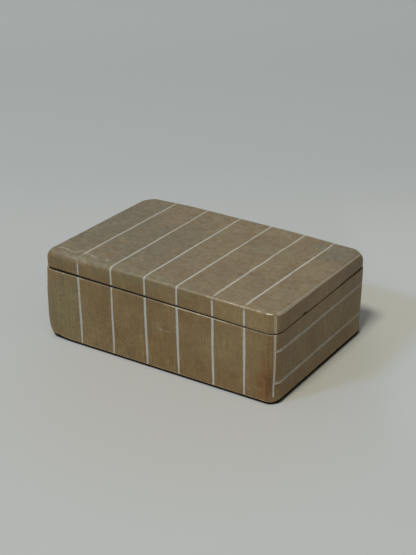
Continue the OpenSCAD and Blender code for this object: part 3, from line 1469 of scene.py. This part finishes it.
@dataclass
class Studio:
    """The floor, the lights and the camera, in millimetres and degrees."""

    azimuth: float = 33.57  # How far the camera stands to the right of the front
    elevation: float = 25.8  # How far it looks down
    roll: float = -0.9  # How far it leans
    distance: float = 705.0  # From the point that it looks at
    aim: Point = (-0.25, 3.68, 33.3)
    lens: float = 80.91  # Its focal length, for a frame 36 mm wide
    clip: tuple[float, float] = (0.01, 100.0)  # How near and how far it sees, in metres
    floor_half: float = 9000.0
    room: Colour = (1.0, 0.98, 0.94, 1.0)  # The colour of the light from all round
    room_strength: float = 0.31
    lamps: tuple[Lamp, ...] = (
        Lamp("key", (176.0, -1871.0, 3531.0), (860.0, 585.0), 106.0, (0.985, 0.965, 0.83)),
        Lamp("window", (-1500.0, -2900.0, 2690.0), (700.0, 420.0), 54.0, (0.38, 0.54, 1.0)),
    )

    def camera(self) -> None:
        """Place the camera."""
        data = bpy.data.cameras.new("camera")
        data.lens = self.lens
        data.clip_start, data.clip_end = self.clip
        made = linked("camera", data)
        turn, tilt = math.radians(self.azimuth), math.radians(self.elevation)
        back = Vector((math.sin(turn) * math.cos(tilt), -math.cos(turn) * math.cos(tilt), math.sin(tilt)))
        level = back.to_track_quat("Z", "Y").to_matrix()
        lean = level @ Matrix.Rotation(math.radians(self.roll), 3, "Z")
        spot = (Vector(self.aim) + back * self.distance) * MM
        made.matrix_world = Matrix.Translation(spot) @ lean.to_4x4()
        bpy.context.scene.camera = made

    def floor(self) -> None:
        """Lay the floor that the box stands on."""
        mesh = bpy.data.meshes.new("studio_floor")
        half = self.floor_half * MM
        corners = [(x * half, y * half, 0.0) for x, y in ((-1, -1), (1, -1), (1, 1), (-1, 1))]
        mesh.from_pydata(corners, [], [(0, 1, 2, 3)])
        mesh.materials.append(FloorFinish().material())
        made = linked("studio_floor", mesh)

    def world(self) -> None:
        """Fill the room with soft light."""
        made = bpy.data.worlds.new("soft_room")
        made.use_nodes = True
        light = made.node_tree.nodes["Background"]
        light.inputs["Color"].default_value = self.room
        light.inputs["Strength"].default_value = self.room_strength
        bpy.context.scene.world = made

    def build(self) -> None:
        """Set up everything round the box."""
        bpy.context.scene.view_settings.view_transform = "Standard"
        self.camera()
        self.floor()
        self.world()
        for lamp in self.lamps:
            lamp.hang()


RUST = "6e481d"
SOOT = "5a3514"
MOSS = "706645"
SHADE = "625539"
FAWN = "826d47"
SPOT = "3b3122"
BODY_STAINS = (
    Stain((45.0, -50.0, 26.0), (30.0, 6.0, 18.0), FAWN, 0.4),
    Stain((70.0, -51.5, 11.0), (9.5, 5.0, 18.0), RUST, 0.9),
    Stain((72.0, -51.5, 24.0), (5.0, 3.5, 24.0), RUST, 0.5),
    Stain((72.5, -51.0, 14.0), (4.5, 3.5, 17.0), SOOT, 0.6),
    Stain((35.0, -50.0, 6.0), (50.0, 6.0, 11.0), RUST, 0.25),
    Stain((8.0, -50.0, 17.0), (12.0, 6.0, 17.0), RUST, 0.35),
    Stain((76.0, -30.0, 5.0), (8.0, 34.0, 9.0), RUST, 0.2),
    Stain((-60.0, -50.0, 24.1), (20.0, 9.0, 25.0), MOSS, 0.6),
)
LID_STAINS = (
    Stain((-20.0, -47.0, 53.1), (70.0, 8.0, 7.0), MOSS, 0.6),
    Stain((-62.0, 4.0, 53.1), (32.0, 60.0, 14.0), SHADE, 0.95),
    Stain((-26.0, -10.0, 53.1), (24.0, 50.0, 14.0), SHADE, 0.75),
    Stain((66.0, 38.0, 51.0), (20.0, 24.0, 14.0), SHADE, 0.95),
    Stain((60.0, -50.0, 47.6), (34.0, 6.0, 8.0), FAWN, 0.8),
    Stain((64.9, 22.8, 52.0), (1.5, 1.8, 2.5), SPOT, 0.7),
)
BODY_NICKS = (
    Nick(((-1.2, -50.0, 26.3), (3.9, -50.0, 26.4), (6.2, -50.0, 25.6), (10.8, -50.0, 26.1)), 0.1, 0.3, 1.0),
    Nick(((12.6, -50.0, 28.9), (14.2, -50.0, 29.9)), 0.1, 0.35, 0.5),
    Nick(((4.5, -50.0, 25.9),), 0.25, 0.85, 0.0),
    Nick(((17.3, -50.0, 32.2),), 0.3, 0.5, 0.0),
)
# The lid's nicks in plan: a crackle at the front left, a chip beside it and a long faint scratch
LID_NICKS = (
    (((-67.3, -44.3), (-62.8, -43.1), (-58.7, -44.8), (-55.2, -45.0), (-53.4, -40.5),
      (-45.1, -43.0), (-41.0, -44.5)), 0.25, 0.75),
    (((-34.5, -43.4),), 0.6, 1.0),
    (((-66.0, -22.5), (-68.0, -11.0), (-66.0, -4.4), (-59.0, 5.7)), 0.2, 0.35),
)


def lid_nicks(sizes: BoxSizes) -> tuple[Nick, ...]:
    """Lay the lid's nicks on its sloping top."""
    laid = [(tuple((x, y, sizes.top_at(x, y)) for x, y in path), *rest) for path, *rest in LID_NICKS]
    return tuple(Nick(*values) for values in laid)


def main() -> None:
    """Build the box and its surroundings."""
    logging.basicConfig(level=logging.INFO, format="%(name)s: %(message)s")
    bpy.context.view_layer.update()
    Studio().build()
    sizes = BoxSizes.from_frame()
    pieces = (
        StoneBody(sizes).build(StoneFinish("rubbed_body_stone", BODY_STAINS, BODY_NICKS)),
        StoneLid(sizes).build(StoneFinish("rubbed_lid_stone", LID_STAINS, lid_nicks(sizes))),
    )
    for piece in pieces:
        LOG.info("%s: %d points, %d faces", piece.name, len(piece.data.vertices), len(piece.data.polygons))


if __name__ == "__main__":
    main()
